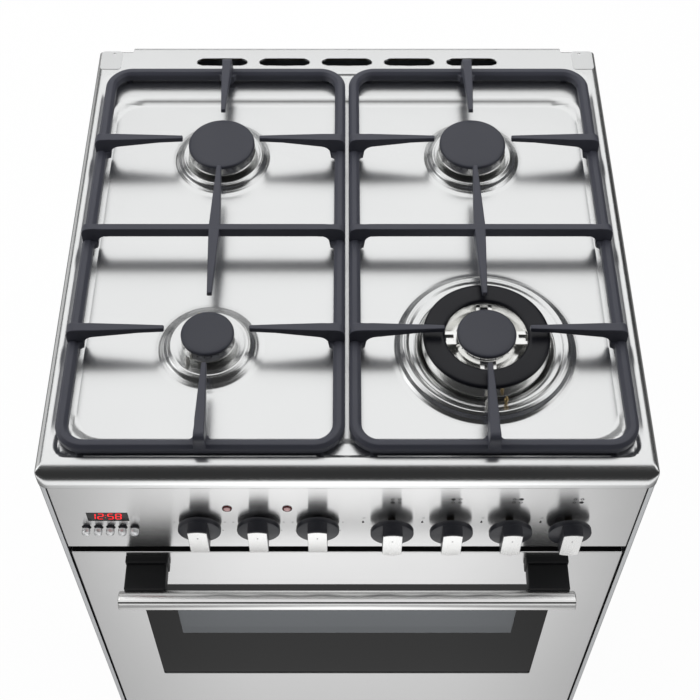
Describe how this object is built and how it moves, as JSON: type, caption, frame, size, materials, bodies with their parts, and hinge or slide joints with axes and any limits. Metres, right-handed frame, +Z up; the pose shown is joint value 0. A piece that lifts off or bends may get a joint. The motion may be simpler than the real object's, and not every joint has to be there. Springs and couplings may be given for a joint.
{
  "type": "dual fuel range cooker",
  "caption": "Free-standing cooker: pressed steel gas hob with cast iron pan supports, control fascia with knobs and clock, fan oven behind a drop-down glass door, storage drawer, feet.",
  "frame": {"origin": "middle of the bounding box on the floor, under the feet", "axes": "+Z up; the front with the knobs and the door faces -Y; +X to the right of someone who faces the cooker"},
  "size_m": [0.6, 0.649, 0.9295],
  "materials": {
    "brushed_stainless": "brushed stainless steel with horizontal grain",
    "hob_stainless": "satin pressed stainless steel",
    "silver_paint": "silver paint on sheet steel",
    "galvanised": "zinc coated sheet steel",
    "frame_enamel": "black enamel on sheet steel",
    "cavity_enamel": "grey speckled vitreous enamel",
    "cap_enamel": "matt black vitreous enamel",
    "cast_iron": "matt black enamel on cast iron",
    "burner_aluminium": "die cast aluminium",
    "cup_steel": "pressed steel",
    "brass": "machined brass",
    "knob_plastic": "moulded black thermoset",
    "bracket_plastic": "moulded black plastic",
    "foot_plastic": "moulded black plastic",
    "outer_glass": "tempered glass with a printed black border",
    "inner_glass": "clear tempered glass",
    "handle_steel": "satin steel tube",
    "mineral_wool": "mineral wool",
    "element_steel": "dark sheathed heating tube",
    "lamp_glass": "domed lamp glass",
    "gasket_fibre": "woven glass fibre",
    "ceramic": "white glazed ceramic",
    "switch_plastic": "moulded plastic and steel",
    "clock_plastic": "glossy black plastic",
    "button_plastic": "silver coloured plastic",
    "lamp_lens": "translucent red plastic",
    "shelf_chrome": "chrome plated wire",
    "cover_plastic": "silver coloured moulded plastic"
  },
  "bodies": {
    "cooker": {"hob_top": "hob_stainless", "hinge_cover_plates": "cover_plastic", "control_fascia": "brushed_stainless", "side_panel_left": "silver_paint", "side_panel_right": "silver_paint", "back_panel": "galvanised", "base_tray": "galvanised", "oven_front_frame": "frame_enamel", "oven_cavity": "cavity_enamel", "oven_insulation": "mineral_wool", "oven_elements": "element_steel", "fan_baffle": "cavity_enamel", "fan_motor": "galvanised", "oven_lamp": "lamp_glass", "door_gasket": "gasket_fibre", "gas_manifold": "brass", "burner_cups": "cup_steel", "ignition_electrodes": "ceramic", "burner_heads": "burner_aluminium", "oven_switches": "switch_plastic", "clock_module": "clock_plastic", "indicator_lamps": "lamp_lens"},
    "foot_front_left_body": {"foot_front_left": "foot_plastic"},
    "foot_front_right_body": {"foot_front_right": "foot_plastic"},
    "foot_rear_left_body": {"foot_rear_left": "foot_plastic"},
    "foot_rear_right_body": {"foot_rear_right": "foot_plastic"},
    "left_support_body": {"pan_support_left": "cast_iron"},
    "right_support_body": {"pan_support_right": "cast_iron"},
    "cap_rear_left_body": {"cap_rear_left": "cap_enamel"},
    "cap_rear_right_body": {"cap_rear_right": "cap_enamel"},
    "cap_front_left_body": {"cap_front_left": "cap_enamel"},
    "wok_centre_cap_body": {"wok_centre_cap": "cap_enamel"},
    "wok_ring_cap_body": {"wok_ring_cap": "cap_enamel"},
    "oven_knob_1_body": {"oven_knob_1": "knob_plastic"},
    "oven_knob_2_body": {"oven_knob_2": "knob_plastic"},
    "oven_knob_3_body": {"oven_knob_3": "knob_plastic"},
    "gas_spindle_1_body": {"gas_spindle_1": "brass"},
    "gas_knob_1_body": {"gas_knob_1": "knob_plastic"},
    "gas_spindle_2_body": {"gas_spindle_2": "brass"},
    "gas_knob_2_body": {"gas_knob_2": "knob_plastic"},
    "gas_spindle_3_body": {"gas_spindle_3": "brass"},
    "gas_knob_3_body": {"gas_knob_3": "knob_plastic"},
    "gas_spindle_4_body": {"gas_spindle_4": "brass"},
    "gas_knob_4_body": {"gas_knob_4": "knob_plastic"},
    "clock_button_1_body": {"clock_button_1": "button_plastic"},
    "clock_button_2_body": {"clock_button_2": "button_plastic"},
    "clock_button_3_body": {"clock_button_3": "button_plastic"},
    "clock_button_4_body": {"clock_button_4": "button_plastic"},
    "clock_button_5_body": {"clock_button_5": "button_plastic"},
    "door": {"door_panel": "brushed_stainless", "door_liner": "cavity_enamel", "door_outer_glass": "outer_glass", "door_inner_glass": "inner_glass", "handle_bar": "handle_steel", "handle_brackets": "bracket_plastic", "door_hinges": "galvanised"},
    "drawer": {"drawer_front": "brushed_stainless", "drawer_box": "galvanised"},
    "fan": {"fan_wheel": "galvanised"},
    "shelf": {"wire_shelf": "shelf_chrome"}
  },
  "joints": [
    {"name": "door_hinge", "type": "hinge", "parent": "cooker", "child": "door", "pos_m": [0, -0.2525, 0.292], "axis": [1, 0, 0], "range_deg": [0, 90], "stiffness_Nm_per_rad": 7, "springref_deg": -20.05},
    {"name": "drawer_slide", "type": "slide", "parent": "cooker", "child": "drawer", "axis": [0, -1, 0], "range_m": [0, 0.3]},
    {"name": "shelf_slide", "type": "slide", "parent": "cooker", "child": "shelf", "axis": [0, -1, 0], "range_m": [0, 0.02]},
    {"name": "fan_spin", "type": "hinge", "parent": "cooker", "child": "fan", "pos_m": [0, 0.1645, 0.51], "axis": [0, 1, 0], "continuous": true},
    {"name": "left_support_lift", "type": "slide", "parent": "cooker", "child": "left_support_body", "axis": [0, 0, 1], "range_m": [0, 0.12]},
    {"name": "right_support_lift", "type": "slide", "parent": "cooker", "child": "right_support_body", "axis": [0, 0, 1], "range_m": [0, 0.12]},
    {"name": "cap_rear_left_lift", "type": "slide", "parent": "cooker", "child": "cap_rear_left_body", "axis": [0, 0, 1], "range_m": [0, 0.05]},
    {"name": "cap_rear_right_lift", "type": "slide", "parent": "cooker", "child": "cap_rear_right_body", "axis": [0, 0, 1], "range_m": [0, 0.05]},
    {"name": "cap_front_left_lift", "type": "slide", "parent": "cooker", "child": "cap_front_left_body", "axis": [0, 0, 1], "range_m": [0, 0.05]},
    {"name": "wok_centre_cap_lift", "type": "slide", "parent": "cooker", "child": "wok_centre_cap_body", "axis": [0, 0, 1], "range_m": [0, 0.05]},
    {"name": "wok_ring_cap_lift", "type": "slide", "parent": "cooker", "child": "wok_ring_cap_body", "axis": [0, 0, 1], "range_m": [0, 0.003]},
    {"name": "oven_knob_1_turn", "type": "hinge", "parent": "cooker", "child": "oven_knob_1_body", "pos_m": [-0.15051, -0.2718, 0.79], "axis": [0, 1, 0], "range_deg": [0, 330]},
    {"name": "oven_knob_2_turn", "type": "hinge", "parent": "cooker", "child": "oven_knob_2_body", "pos_m": [-0.09021, -0.2718, 0.79], "axis": [0, 1, 0], "range_deg": [0, 270]},
    {"name": "oven_knob_3_turn", "type": "hinge", "parent": "cooker", "child": "oven_knob_3_body", "pos_m": [-0.02991, -0.2718, 0.79], "axis": [0, 1, 0], "range_deg": [0, 300]},
    {"name": "gas_spindle_1_turn", "type": "hinge", "parent": "cooker", "child": "gas_spindle_1_body", "pos_m": [0.04583, -0.2718, 0.79], "axis": [0, -1, 0], "range_deg": [0, 210]},
    {"name": "gas_knob_1_push", "type": "slide", "parent": "gas_spindle_1_body", "child": "gas_knob_1_body", "axis": [0, 1, 0], "range_m": [0, 0.0025], "stiffness_N_per_m": 1500, "springref_m": -0.001},
    {"name": "gas_spindle_2_turn", "type": "hinge", "parent": "cooker", "child": "gas_spindle_2_body", "pos_m": [0.10613, -0.2718, 0.79], "axis": [0, -1, 0], "range_deg": [0, 210]},
    {"name": "gas_knob_2_push", "type": "slide", "parent": "gas_spindle_2_body", "child": "gas_knob_2_body", "axis": [0, 1, 0], "range_m": [0, 0.0025], "stiffness_N_per_m": 1500, "springref_m": -0.001},
    {"name": "gas_spindle_3_turn", "type": "hinge", "parent": "cooker", "child": "gas_spindle_3_body", "pos_m": [0.16643, -0.2718, 0.79], "axis": [0, -1, 0], "range_deg": [0, 210]},
    {"name": "gas_knob_3_push", "type": "slide", "parent": "gas_spindle_3_body", "child": "gas_knob_3_body", "axis": [0, 1, 0], "range_m": [0, 0.0025], "stiffness_N_per_m": 1500, "springref_m": -0.001},
    {"name": "gas_spindle_4_turn", "type": "hinge", "parent": "cooker", "child": "gas_spindle_4_body", "pos_m": [0.22673, -0.2718, 0.79], "axis": [0, -1, 0], "range_deg": [0, 210]},
    {"name": "gas_knob_4_push", "type": "slide", "parent": "gas_spindle_4_body", "child": "gas_knob_4_body", "axis": [0, 1, 0], "range_m": [0, 0.0025], "stiffness_N_per_m": 1500, "springref_m": -0.001},
    {"name": "clock_button_1_press", "type": "slide", "parent": "cooker", "child": "clock_button_1_body", "axis": [0, 1, 0], "range_m": [0, 0.001], "stiffness_N_per_m": 300, "springref_m": -0.001},
    {"name": "clock_button_2_press", "type": "slide", "parent": "cooker", "child": "clock_button_2_body", "axis": [0, 1, 0], "range_m": [0, 0.001], "stiffness_N_per_m": 300, "springref_m": -0.001},
    {"name": "clock_button_3_press", "type": "slide", "parent": "cooker", "child": "clock_button_3_body", "axis": [0, 1, 0], "range_m": [0, 0.001], "stiffness_N_per_m": 300, "springref_m": -0.001},
    {"name": "clock_button_4_press", "type": "slide", "parent": "cooker", "child": "clock_button_4_body", "axis": [0, 1, 0], "range_m": [0, 0.001], "stiffness_N_per_m": 300, "springref_m": -0.001},
    {"name": "clock_button_5_press", "type": "slide", "parent": "cooker", "child": "clock_button_5_body", "axis": [0, 1, 0], "range_m": [0, 0.001], "stiffness_N_per_m": 300, "springref_m": -0.001},
    {"name": "foot_front_left_turn", "type": "hinge", "parent": "cooker", "child": "foot_front_left_body", "pos_m": [-0.255, -0.1915, 0.09], "axis": [0, 0, 1], "continuous": true},
    {"name": "foot_front_right_turn", "type": "hinge", "parent": "cooker", "child": "foot_front_right_body", "pos_m": [0.255, -0.1915, 0.09], "axis": [0, 0, 1], "continuous": true},
    {"name": "foot_rear_left_turn", "type": "hinge", "parent": "cooker", "child": "foot_rear_left_body", "pos_m": [-0.255, 0.2565, 0.09], "axis": [0, 0, 1], "continuous": true},
    {"name": "foot_rear_right_turn", "type": "hinge", "parent": "cooker", "child": "foot_rear_right_body", "pos_m": [0.255, 0.2565, 0.09], "axis": [0, 0, 1], "continuous": true}
  ]
}
